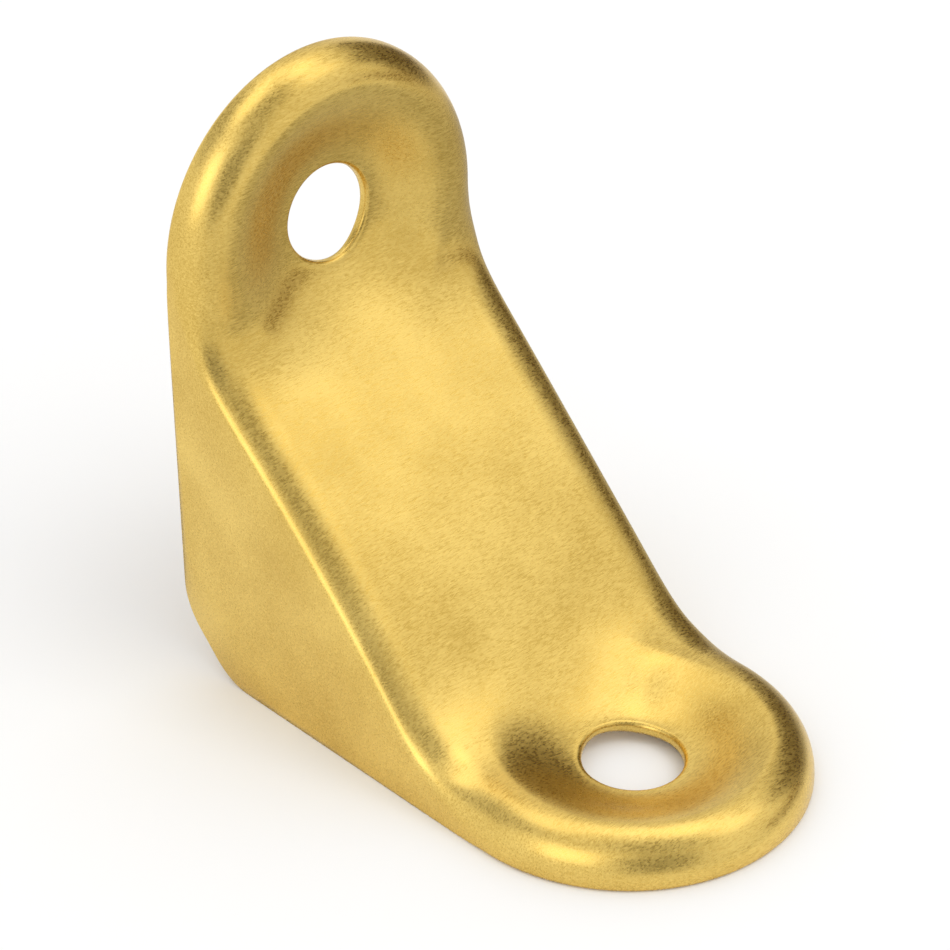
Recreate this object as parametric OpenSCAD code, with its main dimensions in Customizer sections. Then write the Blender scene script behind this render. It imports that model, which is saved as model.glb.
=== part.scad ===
// Angle bracket pressed from one sheet: two round-ended legs with raised rims,
// a dished screw hole in each leg and a sloping web with a ridge along both sides.
// The floor leg lies on z = 0, the wall leg on y = 0, and the corner is the origin.

/* [Overall size] */
// Width across the bracket
width = 15; // [14:0.5:16.5]
// Length of each leg from the corner to its round end
leg_length = 25; // [24.5:0.5:29]
// Thickness of the sheet
sheet = 0.6; // [0.4:0.05:0.65]

/* [Legs] */
// Height of the rim above the mounting plane
rim_height = 1.95; // [1.85:0.05:2.4]
// Width of the rim's roll from the wall to the crest, at the round end
rim_roll = 1.7; // [1.2:0.1:2.2]
// Height of the rim's roll above the upright wall, at the round end
rim_rise = 1.65; // [1.1:0.05:1.7]
// Diameter of the round dish about the hole, at the crest of the rim
dish_d = 11; // [10:0.1:11.6]
// Width of the dish's slope from the crest down to the hole
dish_slope = 3.2; // [2.8:0.1:3.4]
// Height of the dish face above the mounting plane, beside the hole
dish_height = 0.9; // [0.8:0.05:1.3]

/* [Screw holes] */
// Diameter of each screw hole
hole_d = 4; // [3:0.1:4.2]
// Distance of each hole from the corner
hole_pos = 18.1; // [17.8:0.1:18.5]
// Radius on the lip of each hole
hole_lip = 0.2; // [0.1:0.05:0.25]

/* [Web] */
// Distance from the corner to where the line of the ridges meets each mounting plane
web_reach = 16.25; // [15.5:0.05:16.8]
// Depth of the web below its ridges
web_depth = 0.18; // [0.1:0.02:0.2]
// Width of the slope from a ridge down to the web
ridge_slope = 0.9; // [0.9:0.1:2]
// Inside radius where a ridge rolls over
ridge_inside = 0.15; // [0.1:0.05:0.5]
// Softness of the hollow where the middle of the web runs into each dish
knee_mid = 1.5; // [0.8:0.1:1.8]
// Softness of the hollow where each ridge runs into the rim
knee_side = 1.8; // [1.2:0.1:3]
// Distance from the wall over which the softness changes
knee_width = 3.5; // [2.5:0.1:5]
// Distance the ridges lean in over the web
waist = 0; // [0:0.05:0.3]

/* [Heel] */
// Length cut from the corner along each mounting plane
heel_cut = 2.5; // [1.5:0.1:4]
// Radius where the cut meets each mounting plane
heel_round = 2.7; // [1:0.1:3]

/* [Edges] */
// Radius on the outer edge of the sheet
edge_round = 0.18; // [0.05:0.01:0.18]

/* [Smoothness] */
// Steps round a quarter of a leg end
arc_steps = 10; // [6:1:12]
// Steps along half of the web
web_steps = 4; // [3:1:6]
// Steps through the hollow between web and leg
knee_steps = 7; // [4:1:8]
// Steps along the straight side of a leg
side_steps = 2; // [1:1:3]
// Steps round the roll of the rim
roll_steps = 5; // [3:1:6]
// Steps down the slope of the dish
slope_steps = 8; // [5:1:9]

/* [Hidden] */
half = width / 2;
arc_pos = leg_length - half;
cut_over = 1;
path_steps = web_steps + knee_steps + side_steps;
quarter = path_steps + arc_steps;
around = 4 * quarter;
roll_row = 3;
slope_row = roll_row + roll_steps;
flat_row = slope_row + slope_steps;
rows = flat_row + 2;
ridge_roll = sheet + ridge_inside;
ridge_end = web_reach - rim_height;
knee_start = ridge_end - knee_side / 2;
web_end = web_reach - web_depth * sqrt(2) - dish_height;
knee_end = min(arc_pos - 0.2, web_end + knee_mid);

function mix(a, b, f) = a + (b - a) * f;
function smooth(f) = let (g = min(1, max(0, f))) g * g * (3 - 2 * g);
function unit(v) = v / norm(v);
// The higher of two faces, with a soft hollow where they meet.
function soft_max(a, b, k) =
    let (g = max(0, k - abs(a - b)) / k)
    max(a, b) + g * g * k / 4;

// Drop of a rolled edge at a distance in from the wall, for a roll of a given width and height.
function roll_drop(u, w, h) = let (v = max(0, 1 - u / w)) h * (1 - sqrt(max(0, 1 - v * v)));
function ridge_drop(u) = roll_drop(u, ridge_roll, ridge_roll) + web_depth * smooth((u - ridge_roll) / ridge_slope);

// Share of the leg shape along the outline: none on the web, all of it at the leg's round end.
function leg_share(y) = smooth((y - ridge_end) / (arc_pos - ridge_end));
function lean(y) = waist * (1 - leg_share(y));

// The rim starts with the roll of the ridge and grows to its own at the round end.
function rim_drop(u, y) =
    roll_drop(u, mix(ridge_roll, rim_roll, leg_share(y)), mix(ridge_roll, rim_rise, leg_share(y)));
// The round dish falls from the crest of the rim, steepest half way to the hole.
function dish_drop(x, y) =
    let (t = min(1, max(0, (dish_d / 2 - norm([x, y - hole_pos])) / dish_slope)))
    (rim_height - dish_height) * mix(t, smooth(t), 0.5);

// Height of the front face over the floor leg and the lower half of the web.
function face(x, y) =
    let (
        out = y > arc_pos ? norm([x, y - arc_pos]) : abs(x),
        u = half - lean(y) - out,
        knee = mix(knee_side, knee_mid, smooth(u / knee_width))
    )
    soft_max(rim_height - rim_drop(u, y) - dish_drop(x, y), web_reach - y - sqrt(2) * ridge_drop(u), knee);

// Places along the side of the outline, from the middle of the web to the round end.
function side_pos(i) =
    i <= web_steps ? mix(web_reach / 2, knee_start, i / web_steps) :
    i <= web_steps + knee_steps ? mix(knee_start, knee_end, (i - web_steps) / knee_steps) :
        mix(knee_end, arc_pos, (i - web_steps - knee_steps) / side_steps);

// Edge of the side wall: half of the heel cut, its rounded corner and the floor.
function foot(i) =
    let (tangent = heel_round * tan(22.5), start = heel_cut - tangent / sqrt(2))
    i <= web_steps ? [mix(heel_cut / 2, start, i / web_steps), mix(heel_cut / 2, tangent / sqrt(2), i / web_steps)] :
    i <= web_steps + knee_steps ?
        let (a = 45 * (1 - (i - web_steps) / knee_steps))
        [heel_cut + tangent - heel_round * sin(a), heel_round * (1 - cos(a))] :
        [mix(heel_cut + tangent, arc_pos, (i - web_steps - knee_steps) / side_steps), 0];

function turn(i) = 90 * max(0, i - path_steps) / arc_steps;
function roll_at(i) = mix(ridge_roll, rim_roll, leg_share(side_pos(i)));
function slope_at(i) = mix(ridge_slope, dish_slope, leg_share(side_pos(i)));

// Distance in from the top of the wall at a row.
function inset(i, j) =
    j <= slope_row ? roll_at(i) * (1 - cos(90 * (j - roll_row) / roll_steps)) :
    j <= flat_row ? roll_at(i) + slope_at(i) * (j - slope_row) / slope_steps :
        mix(roll_at(i) + slope_at(i), half - lean(side_pos(i)), (j - flat_row) / (rows - flat_row));

// Rows on the rounded edge at the foot of the wall.
function edge_in(j) = j == 0 ? edge_round : j == 1 ? edge_round * (1 - cos(45)) : 0;
function edge_up(j) = j == 0 ? 0 : j == 1 ? edge_round * (1 - cos(45)) : edge_round;

// Point of the front face at a station, a distance in from the top of the wall.
// Over the web the stations run square to the slope, so both halves meet at the middle.
function front(i, u) =
    let (
        s = min(i, path_steps),
        across = half - lean(side_pos(s)) - u,
        square = 1 - s / path_steps,
        y = side_pos(s) - square * ridge_drop(u) / sqrt(2) + across * sin(turn(i)),
        x = across * cos(turn(i))
    )
    [x, y, face(x, y)];

// Point of the outer skin on one quarter of the outline.
function skin(i, j) =
    let (s = min(i, path_steps), top = front(s, 0), edge = foot(s))
    j >= roll_row ? front(i, inset(s, j)) :
    let (
        line = edge + unit([top[1], top[2]] - edge) * edge_up(j),
        across = half - edge_in(j)
    )
    [across * cos(turn(i)), line[0] + across * sin(turn(i)), line[1]];

function flip_side(p) = [-p[0], p[1], p[2]];
function swap_legs(p) = [p[0], p[2], p[1]];

// The whole outline runs along the floor leg, back, and round the wall leg.
function station(k) =
    k <= quarter ? k :
    k <= 2 * quarter ? 2 * quarter - k :
    k <= 3 * quarter ? k - 2 * quarter : around - k;
function place(k, p) =
    let (q = (k > quarter && k < 3 * quarter) ? flip_side(p) : p)
    k > 2 * quarter ? swap_legs(q) : q;
// Points of the middle line are counted from the wall hole to the floor hole.
function mid_index(k) =
    let (s = min(station(k), path_steps))
    path_steps + (k > 2 * quarter ? -s : s);

outer = [for (k = [0 : around - 1]) [for (j = [0 : rows - 1]) place(k, skin(station(k), j))]];
outer_mid = [for (t = [-path_steps : path_steps])
    let (p = front(abs(t), half - lean(side_pos(abs(t)))))
    t < 0 ? swap_legs(p) : p];

function beside(k, j) = outer[(k + around) % around][j];
function above(k, j) = j + 1 < rows ? outer[k][j + 1] : outer_mid[mid_index(k)];
function wall_out(k) = let (a = turn(station(k))) place(k, [cos(a), sin(a), 0]);
function normal(k, j) =
    j < roll_row ? wall_out(k) :
    unit(cross(beside(k + 1, j) - beside(k - 1, j), above(k, j) - outer[k][j - 1]));
function mid_normal(t) =
    let (
        run = outer_mid[min(t + 1, 2 * path_steps)] - outer_mid[max(t - 1, 0)],
        level = t == 0 || t == 2 * path_steps
    )
    level ? (t == 0 ? [0, 1, 0] : [0, 0, 1]) : unit([0, -run[2], run[1]]);

// The inner skin lies one sheet thickness behind the outer skin.
inner = [for (k = [0 : around - 1]) [for (j = [0 : rows - 1])
    outer[k][j] - normal(k, j) * (j < roll_row ? sheet - edge_in(j) : sheet)]];
inner_mid = [for (t = [0 : 2 * path_steps]) outer_mid[t] - mid_normal(t) * sheet];

grid = around * rows;
mids = 2 * path_steps + 1;
inner_start = grid + mids;
function flat_list(a) = [for (row = a) for (p = row) p];
sheet_points = concat(flat_list(outer), outer_mid, flat_list(inner), inner_mid);

function at(k, j) = (k % around) * rows + j;
function at_mid(k) = grid + mid_index(k % around);
function skin_faces(start) = [for (k = [0 : around - 1]) each concat(
    [for (j = [0 : rows - 2]) each [
        [start + at(k, j), start + at(k + 1, j), start + at(k + 1, j + 1)],
        [start + at(k, j), start + at(k + 1, j + 1), start + at(k, j + 1)]]],
    [[start + at(k, rows - 1), start + at(k + 1, rows - 1), start + at_mid(k + 1)]],
    mid_index(k) == mid_index((k + 1) % around) ? [] :
        [[start + at(k, rows - 1), start + at_mid(k + 1), start + at_mid(k)]])];
function turned(faces) = [for (f = faces) [f[0], f[2], f[1]]];
edge_faces = [for (k = [0 : around - 1]) each [
    [at(k, 0), inner_start + at(k, 0), inner_start + at(k + 1, 0)],
    [at(k, 0), inner_start + at(k + 1, 0), at(k + 1, 0)]]];

module pressed_sheet() {
    polyhedron(sheet_points, concat(turned(skin_faces(0)), skin_faces(inner_start), turned(edge_faces)));
}

// Cutter for one screw hole, standing on z with the dish face at dish_height.
module hole_cutter() {
    cylinder(d = hole_d, h = rim_height + cut_over, $fn = 96);
    rotate_extrude($fn = 96)
        difference() {
            translate([hole_d / 2 - hole_lip, dish_height - hole_lip])
                square([2 * hole_lip, rim_height]);
            translate([hole_d / 2 + hole_lip, dish_height - hole_lip])
                circle(r = hole_lip, $fn = 48);
        }
}

module bracket() {
    color([0.78, 0.62, 0.3])
        difference() {
            pressed_sheet();
            translate([0, hole_pos, 0])
                hole_cutter();
            translate([0, 0, hole_pos])
                mirror([0, 1, 0])
                    rotate([90, 0, 0])
                        hole_cutter();
        }
}

bracket();
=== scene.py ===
import math
import bpy
import numpy as np
from mathutils import Matrix, Vector


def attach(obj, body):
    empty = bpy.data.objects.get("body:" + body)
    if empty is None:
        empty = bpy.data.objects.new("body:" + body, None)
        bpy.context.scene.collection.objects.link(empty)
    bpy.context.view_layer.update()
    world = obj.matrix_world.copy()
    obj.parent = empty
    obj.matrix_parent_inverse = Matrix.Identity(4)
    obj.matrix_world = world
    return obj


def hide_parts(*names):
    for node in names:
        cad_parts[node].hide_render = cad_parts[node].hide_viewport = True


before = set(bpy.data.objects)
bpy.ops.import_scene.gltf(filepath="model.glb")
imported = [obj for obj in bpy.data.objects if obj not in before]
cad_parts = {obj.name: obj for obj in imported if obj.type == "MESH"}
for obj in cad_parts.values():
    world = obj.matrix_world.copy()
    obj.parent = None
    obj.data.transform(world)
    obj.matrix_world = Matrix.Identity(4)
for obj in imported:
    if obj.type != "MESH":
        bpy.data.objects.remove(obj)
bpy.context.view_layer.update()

mm = 0.001
root2 = math.sqrt(2)
quarterTurn = math.pi / 2

# pressed sheet, in millimetres: the solid part's sizes, with a softer web, knee and dish edge
bracketSize = {
    "width": 15.0,
    "legLength": 25.0,
    "sheet": 0.6,
    "edgeRound": 0.18,  # free edges of the side walls
    "rimHeight": 1.95,  # crest over the floor
    "rimRoll": 1.7,  # breadth of the rim's roll
    "rimRise": 1.65,  # and its height
    "dishD": 11.0,
    "dishSlope": 3.2,  # from the dish's edge in to its bottom
    "dishHeight": 0.9,  # bottom over the floor
    "dishEase": 0.6,  # 0 is a straight slope, 1 is eased at both ends
    "holeD": 4.0,
    "holePos": 18.1,
    "holeLip": 0.2,
    "holeBack": 0.2,  # height of the broken edge at the back
    "webReach": 16.25,  # where the web's plane meets the floor and the wall
    "webArch": 0.45,  # rise at the middle of the web, measured upright
    "archLength": 6.2,  # from the middle to where the rise is spent
    "waist": 0.2,  # how far the side walls lean in at the middle of the web
    "ridgeWide": 1.8,  # breadth of the roll along the web's sides
    "ridgeInside": 0.15,  # inside radius of that roll
    "kneeMid": 2.2,  # reach of the blend from web to leg, at the middle
    "kneeSide": 1.8,  # and at the side walls
    "kneeWidth": 3.5,  # from the side wall in to where kneeMid holds
    "heelCut": 2.5,  # slanting cut at the corner of floor and wall
    "heelRound": 2.7,
    # how finely each stretch is divided
    "webCuts": 26,
    "kneeCuts": 34,
    "kneeSpan": 3.2,  # length that the knee's divisions share
    "legCuts": 12,
    "endCuts": 52,
    "wallCuts": 5,
    "edgeCuts": 4,
    "rollCuts": 12,
    "slopeCuts": 34,
    "slopeBunch": 1.25,  # over 1 gathers the rows near the rim
    "lipCuts": 6,
    "lipLead": 0.3,  # the rows turn to the hole this far before its lip
    "lipSight": 0.55,  # 0 spreads them evenly round the lip, 1 as seen from its middle
    "heelCuts": 8,
    "heelRoundCuts": 24,
}


def smooth(share):
    held = np.clip(share, 0.0, 1.0)
    return held * held * (3 - 2 * held)


def mix(start, end, share):
    return start + (end - start) * share


def softMax(first, second, reach):
    # a quarter of reach is added where both are equal, and no crease shows where the blend starts
    wide = 1.5 * reach
    near = np.maximum(0, wide - np.abs(first - second)) / wide
    return np.maximum(first, second) + near ** 3 * wide / 6


def rollDrop(inward, wide, high):  # drop of a rolled edge at a distance in from the wall
    left = np.clip(1 - inward / wide, 0, 1)
    return high * (1 - np.sqrt(1 - left * left))


def makeForm(size):
    form = dict(size)
    form["half"] = size["width"] / 2
    form["arcPos"] = size["legLength"] - form["half"]
    form["ridgeHigh"] = size["sheet"] + size["ridgeInside"]
    form["ridgeEnd"] = size["webReach"] - size["rimHeight"]
    form["seam"] = (size["webReach"] + size["webArch"]) / 2  # middle of the web, where the quarters meet
    return form


def legShare(form, y):  # 0 on the web, 1 on the leg
    return smooth((y - form["ridgeEnd"]) / (form["arcPos"] - form["ridgeEnd"]))


def lean(form, y):
    return form["waist"] * (1 - smooth((y - form["seam"]) / (form["arcPos"] - form["seam"])))


def archRise(form, y):
    away = np.maximum(0, y - form["seam"]) / form["archLength"]
    return form["webArch"] * (1 - away ** 2)


def ridgeDrop(form, inward):
    return rollDrop(inward, form["ridgeWide"], form["ridgeHigh"])


def rimDrop(form, inward, y):  # the rim starts with the ridge's roll and grows to its own
    share = legShare(form, y)
    wide = mix(form["ridgeWide"], form["rimRoll"], share)
    high = mix(form["ridgeHigh"], form["rimRise"], share)
    return rollDrop(inward, wide, high)


def dishDrop(form, x, y):  # the round dish falls from the crest of the rim to the hole
    inward = form["dishD"] / 2 - np.hypot(x, y - form["holePos"])
    down = np.clip(inward / form["dishSlope"], 0, 1)
    return (form["rimHeight"] - form["dishHeight"]) * mix(down, smooth(down), form["dishEase"])


def face(form, x, y):  # height of the front face over the floor leg and half of the web
    outward = np.where(y > form["arcPos"], np.hypot(x, y - form["arcPos"]), np.abs(x))
    inward = form["half"] - lean(form, y) - outward
    leg = form["rimHeight"] - rimDrop(form, inward, y) - dishDrop(form, x, y)
    web = form["webReach"] + archRise(form, y) - y - root2 * ridgeDrop(form, inward)
    reach = mix(form["kneeSide"], form["kneeMid"], smooth(inward / form["kneeWidth"]))
    return softMax(leg, web, reach)


def stations(form):
    # places along the side, from the middle of the web to the round end, then round it
    kneeStart = form["ridgeEnd"] - form["kneeSide"] / 2
    kneeEnd = kneeStart + form["kneeSpan"]
    along = np.concatenate([
        np.linspace(form["seam"], kneeStart, form["webCuts"], endpoint=False),
        np.linspace(kneeStart, kneeEnd, form["kneeCuts"], endpoint=False),
        np.linspace(kneeEnd, form["arcPos"], form["legCuts"] + 1),
    ])
    roundEnd = np.linspace(0, quarterTurn, form["endCuts"] + 1)[1:]
    place = np.concatenate([along, np.full(len(roundEnd), form["arcPos"])])
    turn = np.concatenate([np.zeros(len(along)), roundEnd])
    return place, turn


def footLine(form, count):
    # edge of the side wall: half of the heel cut, its rounded corner and the floor
    cut = form["heelCut"]
    radius = form["heelRound"]
    tangent = radius * math.tan(math.pi / 8)
    cutY = np.linspace(cut / 2, cut - tangent / root2, form["heelCuts"], endpoint=False)
    angle = np.linspace(math.pi / 4, 0, form["heelRoundCuts"])
    bendY = cut + tangent - radius * np.sin(angle)
    bendZ = radius * (1 - np.cos(angle))
    lineY = np.concatenate([cutY, bendY, [form["arcPos"]]])
    lineZ = np.concatenate([cut - cutY, bendZ, [0.0]])
    far = np.concatenate([[0], np.cumsum(np.hypot(np.diff(lineY), np.diff(lineZ)))])
    # half of the stations along the side are spent on the cut and its corner
    corner = far[-2]
    sideCount = count - form["endCuts"]
    cornerCount = sideCount // 2
    onCorner = np.linspace(0, corner, cornerCount, endpoint=False)
    onFloor = np.linspace(corner, far[-1], sideCount - cornerCount)
    atEnd = np.full(form["endCuts"], far[-1])
    at = np.concatenate([onCorner, onFloor, atEnd])
    return np.interp(at, far, lineY), np.interp(at, far, lineZ)


def rowEnds(form, place, turn):
    # the first stations end on the middle line, those from start on end on the hole's lip
    count = len(place)
    lip = form["holeD"] / 2 + form["holeLip"]
    holeSide = form["holePos"] - lip
    start = int(np.searchsorted(place, holeSide - form["lipLead"]))
    endX = np.zeros(count)
    endY = np.empty(count)
    early = place[:start + 1]
    endY[:start + 1] = mix(early, holeSide, smooth((early - place[0]) / (place[start] - place[0])))
    outX = form["half"] * np.cos(turn)
    outY = place + form["half"] * np.sin(turn)
    seen = np.arctan2(outY - form["holePos"], outX)[start:]
    bySight = (seen - seen[0]) / (quarterTurn - seen[0])
    evenly = np.linspace(0, 1, count - start)
    angle = math.pi * mix(evenly, bySight, form["lipSight"]) - quarterTurn
    endX[start:] = lip * np.cos(angle)
    endY[start:] = form["holePos"] + lip * np.sin(angle)
    endX[[start, -1]] = 0.0
    return endX, endY, start


def frontGrid(form):
    place, turn = stations(form)
    endX, endY, start = rowEnds(form, place, turn)
    roll = mix(form["ridgeWide"], form["rimRoll"], legShare(form, place))
    wallAt = form["half"] - lean(form, place)
    # how far a row runs square across the web: 1 at the middle, 0 from the ridge's end on
    square = np.clip(1 - (place - place[0]) / (form["ridgeEnd"] - place[0]), 0, 1)
    rows = []
    for angle in np.linspace(0, quarterTurn, form["rollCuts"] + 1):
        inward = roll * (1 - math.cos(angle))
        x = (wallAt - inward) * np.cos(turn)
        y = place + (wallAt - inward) * np.sin(turn) - square * ridgeDrop(form, inward) / root2
        rows.append((x, y))
    rollX, rollY = rows[-1]
    for share in np.linspace(0, 1, form["slopeCuts"] + 1)[1:] ** form["slopeBunch"]:
        x = mix(rollX, endX, share)
        onWeb = place - square * ridgeDrop(form, wallAt - x) / root2
        y = mix(mix(rollY, endY, share), onWeb, square)
        rows.append((x, y))
    front = np.stack([np.stack([x, y, face(form, x, y)], 1) for x, y in rows], 1)
    return front, turn, start


def faceNormals(form, grid):
    step = 1e-3
    x, y = grid[..., 0], grid[..., 1]
    slopeX = (face(form, x + step, y) - face(form, x - step, y)) / (2 * step)
    slopeY = (face(form, x, y + step) - face(form, x, y - step)) / (2 * step)
    normal = np.stack([-slopeX, -slopeY, np.ones_like(slopeX)], -1)
    return normal / np.linalg.norm(normal, axis=-1, keepdims=True)


def sideWall(form, turn, out, top, innerTop):
    footY, footZ = footLine(form, len(turn))
    base = np.stack([form["half"] * np.cos(turn), footY + form["half"] * np.sin(turn), footZ], 1)
    up = top - base
    up = up / np.linalg.norm(up, axis=1, keepdims=True)
    sheet = form["sheet"]
    edge = form["edgeRound"]
    outer = []
    inner = []
    # rounded outer and inner edge at the foot of the wall
    for angle in np.linspace(0, quarterTurn, form["edgeCuts"] + 1):
        inward = edge * (1 - math.sin(angle))
        raised = base + up * edge * (1 - math.cos(angle))
        outer.append(raised - out * inward)
        inner.append(raised - out * (sheet - inward))
    for share in np.linspace(0, 1, form["wallCuts"] + 1)[1:-1]:
        outer.append(mix(base + up * edge, top, share))
        inner.append(mix(base + up * edge - out * sheet, innerTop, share))
    return np.stack(outer, 1), np.stack(inner, 1)


def holeWall(form, rim, low):
    # rolled lip, straight wall and broken back edge of the screw hole
    lip = form["holeLip"]
    away = rim - np.array([0.0, form["holePos"], 0.0])
    away[:, 2] = 0
    away /= np.linalg.norm(away, axis=1, keepdims=True)
    rows = []
    for angle in np.linspace(0, quarterTurn, form["lipCuts"] + 1):
        row = rim - away * lip * math.sin(angle)
        row[:, 2] -= lip * (1 - math.cos(angle))
        rows.append(row)
    bottom = rows[-1].copy()
    bottom[:, 2] = low + form["holeBack"]
    halfway = mix(rows[-1], bottom, 0.5)
    flare = bottom + away * lip
    flare[:, 2] = low
    return np.stack(rows + [halfway, bottom, flare], 1)


def quarterSheet(form):
    front, turn, start = frontGrid(form)
    print("front grid", front.shape, "hole starts at station", start)
    # the back follows a tighter roll, so the sheet keeps its thickness at the web's sides
    tight = dict(form, ridgeWide=form["ridgeHigh"])
    tightFront = frontGrid(tight)[0]
    out = np.stack([np.cos(turn), np.sin(turn), np.zeros(len(turn))], 1)
    normal = faceNormals(tight, tightFront)
    normal[:, 0] = out  # the roll starts upright on the wall
    back = tightFront - normal * form["sheet"]
    onMiddle = front[:, -1, 0] == 0
    back[onMiddle, -1, 0] = 0
    hole = holeWall(form, front[start:, -1], back[start:, -1, 2])
    back[start:, -1] = hole[:, -1]
    outerWall, innerWall = sideWall(form, turn, out, front[:, 0], back[:, 0])
    outside = np.concatenate([outerWall, front], 1)
    inside = np.concatenate([innerWall, back], 1)
    footStrip = np.stack([inside[:, 0], outside[:, 0]], 1)
    # each patch, and whether its faces are turned over
    return [(outside, False), (inside, True), (hole, False), (footStrip, False)]


def joinPatches(points, quads):
    digits = 4  # points that agree to this many decimals become one
    key = np.round(points, digits) + 0.0  # adding 0 makes minus zero plain zero
    _, first, joined = np.unique(key, axis=0, return_index=True, return_inverse=True)
    faces = []
    for quad in joined.reshape(-1)[quads].tolist():
        ring = [corner for i, corner in enumerate(quad) if corner != quad[i - 1]]
        if len(set(ring)) >= 3:
            faces.append(ring)
    return points[first], faces


def buildSheet(form):
    points = []
    quads = []
    count = 0
    for patch, turned in quarterSheet(form):
        rows, columns = patch.shape[:2]
        index = np.arange(rows * columns).reshape(rows, columns)
        corners = [index[:-1, :-1], index[1:, :-1], index[1:, 1:], index[:-1, 1:]]
        patchQuads = np.stack(corners, -1).reshape(-1, 4)
        # mirrored about the middle, and about the slanting plane between floor and wall
        for side in (1, -1):
            for swapped in (False, True):
                placed = patch * np.array([side, 1, 1.0])
                if swapped:
                    placed = placed[..., [0, 2, 1]]
                flipped = turned ^ (side < 0) ^ swapped
                points.append(placed.reshape(-1, 3))
                quads.append(count + (patchQuads[:, ::-1] if flipped else patchQuads))
                count += rows * columns
    return joinPatches(np.concatenate(points), np.concatenate(quads))


def makeBracket(size):
    points, faces = buildSheet(makeForm(size))
    mesh = bpy.data.meshes.new("pressedSheet")
    mesh.from_pydata((points * mm).tolist(), [], faces)
    mesh.validate()
    mesh.polygons.foreach_set("use_smooth", [True] * len(mesh.polygons))
    print("sheet made:", len(mesh.vertices), "points,", len(mesh.polygons), "faces")
    piece = bpy.data.objects.new("pressedSheet", mesh)
    bpy.context.scene.collection.objects.link(piece)
    return piece


bracket = makeBracket(bracketSize)
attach(bracket, "root")
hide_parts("bracket")

# satin brass: colours are linear, lengths in metres
brassLook = {
    "light": (0.85, 0.61, 0.172, 1),
    "deep": (0.62, 0.415, 0.094, 1),
    "tintFrom": 0.95,  # sum of hairs and clouds that gives the deep colour
    "tintTo": 1.50,  # and the light one
    "hairTint": 1.2,  # weight of the hairs in that sum
    "roughLow": 0.24,
    "roughHigh": 0.36,
    "roughFrom": 0.45,  # hair height that gives roughLow
    "roughTo": 0.75,
    "hairLength": 0.00030,
    "hairThin": 4.5,  # times as long as thick
    "hairCurl": 0.5,
    "hairTurns": (0.4, 1.5, 2.7),  # radians, one for each layer of hairs
    "hairTilt": (1.0, 0.7, 1.3),  # share of the turn about each axis
    "hairDepth": 0.08,
    "hairHeight": 0.00003,
    "cloudSize": 0.004,
    "cloudDetail": 4.0,
}

nodeGap = (200, 260)  # between the columns and rows of a node tree


def addNode(tree, kind, column, row, sockets=None):
    node = tree.nodes.new(kind)
    node.location = (column * nodeGap[0], row * nodeGap[1])
    for name, value in (sockets or {}).items():
        node.inputs[name].default_value = value
    return node


def highestOf(tree, column, row, values):
    top = values[0]
    for i, value in enumerate(values[1:]):
        higher = addNode(tree, "ShaderNodeMath", column + i, row)
        higher.operation = "MAXIMUM"
        tree.links.new(top, higher.inputs[0])
        tree.links.new(value, higher.inputs[1])
        top = higher.outputs[0]
    return top


def addHairs(tree, place, look):
    # fine curled hairs lying in several directions, the highest of them on top
    hairs = []
    for layer, turn in enumerate(look["hairTurns"]):
        lie = addNode(tree, "ShaderNodeMapping", -8, 1 - layer, {
            "Rotation": [turn * share for share in look["hairTilt"]],
            "Scale": (1, look["hairThin"], look["hairThin"]),
        })
        hair = addNode(tree, "ShaderNodeTexNoise", -7, 1 - layer, {
            "Scale": 1 / look["hairLength"],
            "Detail": 0.0,
            "Distortion": look["hairCurl"],
        })
        tree.links.new(place, lie.inputs["Vector"])
        tree.links.new(lie.outputs["Vector"], hair.inputs["Vector"])
        hairs.append(hair.outputs["Fac"])
    return highestOf(tree, -6, 1, hairs)


def makeBrass(look):
    material = bpy.data.materials.new("satinBrass")
    material.use_nodes = True
    tree = material.node_tree
    link = tree.links.new
    shader = tree.nodes["Principled BSDF"]
    shader.inputs["Metallic"].default_value = 1.0
    place = addNode(tree, "ShaderNodeTexCoord", -9, 0).outputs["Object"]
    hairs = addHairs(tree, place, look)
    # soft clouds, with the hairs in them, from the deep to the light brass
    cloud = addNode(tree, "ShaderNodeTexNoise", -7, -2, {
        "Scale": 1 / look["cloudSize"],
        "Detail": look["cloudDetail"],
    })
    link(place, cloud.inputs["Vector"])
    tint = addNode(tree, "ShaderNodeMath", -4, -1)
    tint.operation = "MULTIPLY_ADD"
    tint.inputs[1].default_value = look["hairTint"]
    link(hairs, tint.inputs[0])
    link(cloud.outputs["Fac"], tint.inputs[2])
    share = addNode(tree, "ShaderNodeMapRange", -3, -1, {
        "From Min": look["tintFrom"],
        "From Max": look["tintTo"],
    })
    link(tint.outputs[0], share.inputs["Value"])
    ramp = addNode(tree, "ShaderNodeValToRGB", -2, -1)
    ramp.color_ramp.elements[0].color = look["deep"]
    ramp.color_ramp.elements[1].color = look["light"]
    link(share.outputs["Result"], ramp.inputs["Fac"])
    link(ramp.outputs["Color"], shader.inputs["Base Color"])
    rough = addNode(tree, "ShaderNodeMapRange", -2, 0, {
        "From Min": look["roughFrom"],
        "From Max": look["roughTo"],
        "To Min": look["roughLow"],
        "To Max": look["roughHigh"],
    })
    link(hairs, rough.inputs["Value"])
    link(rough.outputs["Result"], shader.inputs["Roughness"])
    bump = addNode(tree, "ShaderNodeBump", -2, 1, {
        "Strength": look["hairDepth"],
        "Distance": look["hairHeight"],
    })
    link(hairs, bump.inputs["Height"])
    link(bump.outputs["Normal"], shader.inputs["Normal"])
    return material


bracket.data.materials.append(makeBrass(brassLook))
print("brass set")

# photograph's viewpoint: lengths in millimetres, angles in degrees, azimuth 0 looks along +Y
viewpoint = {
    "azimuth": 136.38,
    "elevation": 31.85,
    "distance": 115.85,
    "target": (-4.13, 4.9, 6.01),
    "focalPixels": 2787.0,
    "imagePixels": 950,
    "sensor": 36.0,
    "nearest": 1.0,
}


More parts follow.
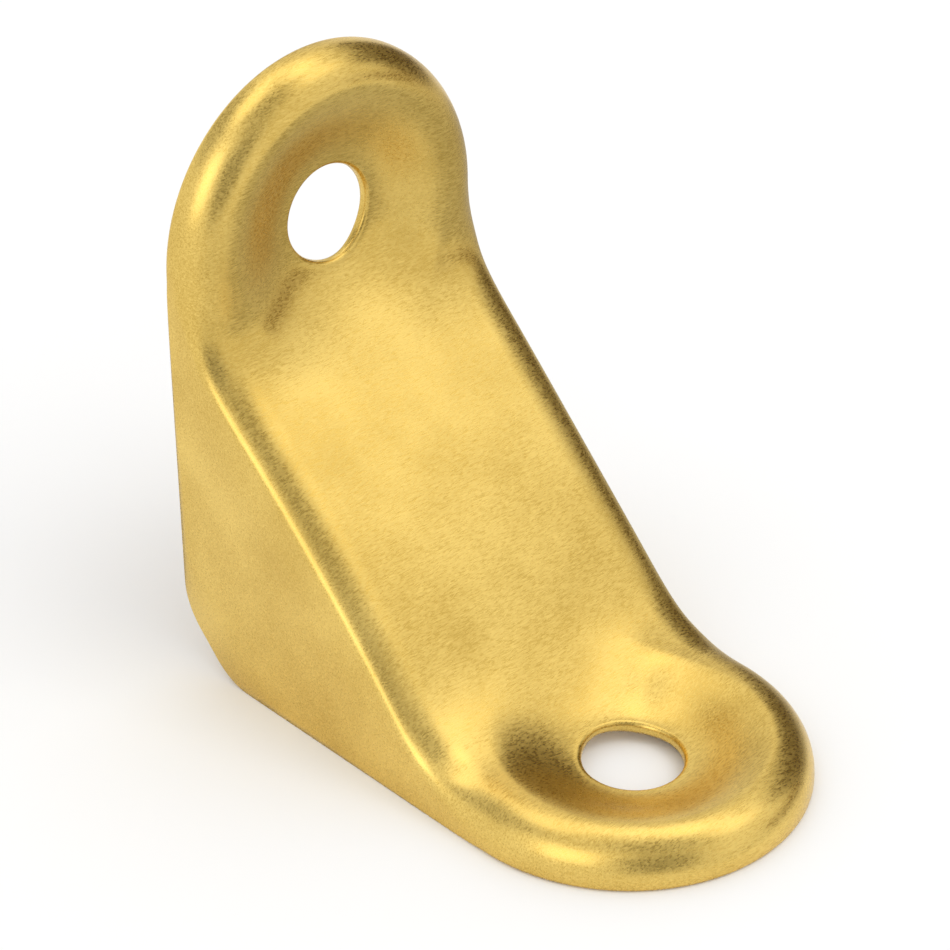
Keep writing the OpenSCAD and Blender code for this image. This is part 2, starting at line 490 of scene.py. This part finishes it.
def placeCamera(view):
    azimuth = math.radians(view["azimuth"])
    elevation = math.radians(view["elevation"])
    level = math.cos(elevation)
    backward = Vector((math.sin(azimuth) * level, -math.cos(azimuth) * level, math.sin(elevation)))
    right = (-backward).cross(Vector((0, 0, 1))).normalized()
    up = right.cross(-backward)
    camera = bpy.data.cameras.new("photoCamera")
    camera.sensor_width = view["sensor"]
    camera.lens = view["focalPixels"] / view["imagePixels"] * view["sensor"]
    camera.clip_start = view["nearest"] * mm
    holder = bpy.data.objects.new("photoCamera", camera)
    bpy.context.scene.collection.objects.link(holder)
    spot = (Vector(view["target"]) + backward * view["distance"]) * mm
    turned = Matrix((right, up, backward)).transposed().to_4x4()
    holder.matrix_world = Matrix.Translation(spot) @ turned
    bpy.context.scene.camera = holder
    print("camera at", [round(v, 4) for v in spot])


placeCamera(viewpoint)

# colours of the cards and the world
plainWhite = (1, 1, 1, 1)
warm = (1.0, 0.78, 0.5, 1)

# studio round the bracket: lengths in metres, at is azimuth from +X and elevation, in degrees
# the metal mirrors the cards, and the lamp lights only the floor
studio = {
    "floorSize": 3.0,
    "floorTone": 0.95,
    "floorRough": 0.9,
    "worldTone": 0.98,
    "cardDistance": 1.0,
    "cards": {
        "darkRight": {"at": (185, 19), "size": (1.02, 0.85), "tone": 0.13, "tint": warm},
        "darkRightLow": {"at": (147, 4), "size": (0.60, 0.32), "tone": 0.30, "tint": warm},
        "whiteRight": {"at": (133, 51), "size": (0.48, 0.38), "tone": 1.75},
        "whiteHigh": {"at": (166, 70), "size": (0.50, 0.26), "tone": 2.2},
        "greyFront": {"at": (66, 20), "size": (0.70, 0.70), "tone": 0.36},
        "greyTop": {"at": (86, 61), "size": (0.70, 0.62), "tone": 0.50},
        "greyRight": {"at": (-118, 22), "size": (0.55, 0.45), "tone": 0.72},
        "greyBack": {"at": (-58, 48), "size": (0.85, 0.60), "tone": 0.55},
        "whiteLeft": {"at": (14, 30), "size": (0.50, 0.60), "tone": 2.2},
        "whiteTop": {"at": (-125, 70), "size": (0.65, 0.45), "tone": 1.6},
        "whiteNear": {"at": (-22, 78), "distance": 0.074, "size": (0.026, 0.022), "tone": 1.9},
    },
    "floorCardHeight": 0.0003,
    "floorCards": {
        "floorRight": {"near": (-0.010, -0.03), "far": (-0.16, 0.10), "tone": 0.56},
        "floorFront": {"near": (-0.009, 0.027), "far": (0.05, 0.12), "tone": 0.85},
    },
    "lamps": {
        "overhead": {"at": (115, 60), "distance": 0.48, "size": (0.24, 0.24), "power": 0.32},
    },
}


def towards(look, distance):
    azimuth, elevation = (math.radians(angle) for angle in look["at"])
    level = math.cos(elevation)
    return Vector((level * math.cos(azimuth), level * math.sin(azimuth), math.sin(elevation))) * distance


def addPlane(name, corners, material):
    planeMesh = bpy.data.meshes.new(name)
    planeMesh.from_pydata(corners, [], [(0, 1, 2, 3)])
    planeMesh.materials.append(material)
    plane = bpy.data.objects.new(name, planeMesh)
    bpy.context.scene.collection.objects.link(plane)
    return plane


def makeFloor(look):
    half = look["floorSize"] / 2
    material = bpy.data.materials.new("palePaper")
    material.use_nodes = True
    shader = material.node_tree.nodes["Principled BSDF"]
    shader.inputs["Base Color"].default_value = (look["floorTone"],) * 3 + (1,)
    shader.inputs["Roughness"].default_value = look["floorRough"]
    shader.inputs["Specular IOR Level"].default_value = 0.0
    corners = [(-half, -half, 0), (half, -half, 0), (half, half, 0), (-half, half, 0)]
    addPlane("paleFloor", corners, material)


def makeCard(name, corners, look):
    material = bpy.data.materials.new(name)
    material.use_nodes = True
    tree = material.node_tree
    tree.nodes.remove(tree.nodes["Principled BSDF"])
    glow = addNode(tree, "ShaderNodeEmission", 0, 0, {
        "Strength": look["tone"],
        "Color": look.get("tint", plainWhite),
    })
    tree.links.new(glow.outputs["Emission"], tree.nodes["Material Output"].inputs["Surface"])
    card = addPlane(name, [tuple(corner) for corner in corners], material)
    card.visible_camera = False
    card.visible_diffuse = False
    card.visible_shadow = False
    card.visible_transmission = False


def standCard(name, look, distance):
    spot = towards(look, look.get("distance", distance))
    wide, tall = look["size"]
    across = spot.cross(Vector((0, 0, 1))).normalized() * wide / 2
    upward = across.cross(spot).normalized() * tall / 2
    low = spot - upward
    high = spot + upward
    makeCard(name, [low - across, low + across, high + across, high - across], look)


def layCard(name, look, height):
    nearX, nearY = look["near"]
    farX, farY = look["far"]
    outline = [(nearX, nearY), (farX, nearY), (farX, farY), (nearX, farY)]
    makeCard(name, [(x, y, height) for x, y in outline], look)


def makeWorld(look):
    world = bpy.data.worlds.new("paleStudio")
    bpy.context.scene.world = world
    world.use_nodes = True
    tree = world.node_tree
    background = tree.nodes["Background"]
    background.inputs["Color"].default_value = plainWhite
    # white to the camera, in mirrors and through glass, and worldTone as light
    path = addNode(tree, "ShaderNodeLightPath", -5, 1)
    rays = [path.outputs[f"Is {kind} Ray"] for kind in ("Camera", "Glossy", "Transmission")]
    seen = highestOf(tree, -4, 1, rays)
    tone = addNode(tree, "ShaderNodeMapRange", -2, 0, {"To Min": look["worldTone"], "To Max": 1.0})
    tree.links.new(seen, tone.inputs["Value"])
    tree.links.new(tone.outputs["Result"], background.inputs["Strength"])


def addLamp(name, look):
    lamp = bpy.data.lights.new(name, "AREA")
    lamp.shape = "RECTANGLE"
    lamp.size, lamp.size_y = look["size"]
    lamp.energy = look["power"]
    holder = bpy.data.objects.new(name, lamp)
    bpy.context.scene.collection.objects.link(holder)
    spot = towards(look, look["distance"])
    holder.location = spot
    holder.rotation_euler = (-spot).to_track_quat("-Z", "Y").to_euler()
    holder.visible_glossy = False


makeFloor(studio)
makeWorld(studio)
for name, look in studio["cards"].items():
    standCard(name, look, studio["cardDistance"])
for name, look in studio["floorCards"].items():
    layCard(name, look, studio["floorCardHeight"])
for name, look in studio["lamps"].items():
    addLamp(name, look)
print("studio lit")

bpy.context.scene.view_settings.view_transform = "Standard"
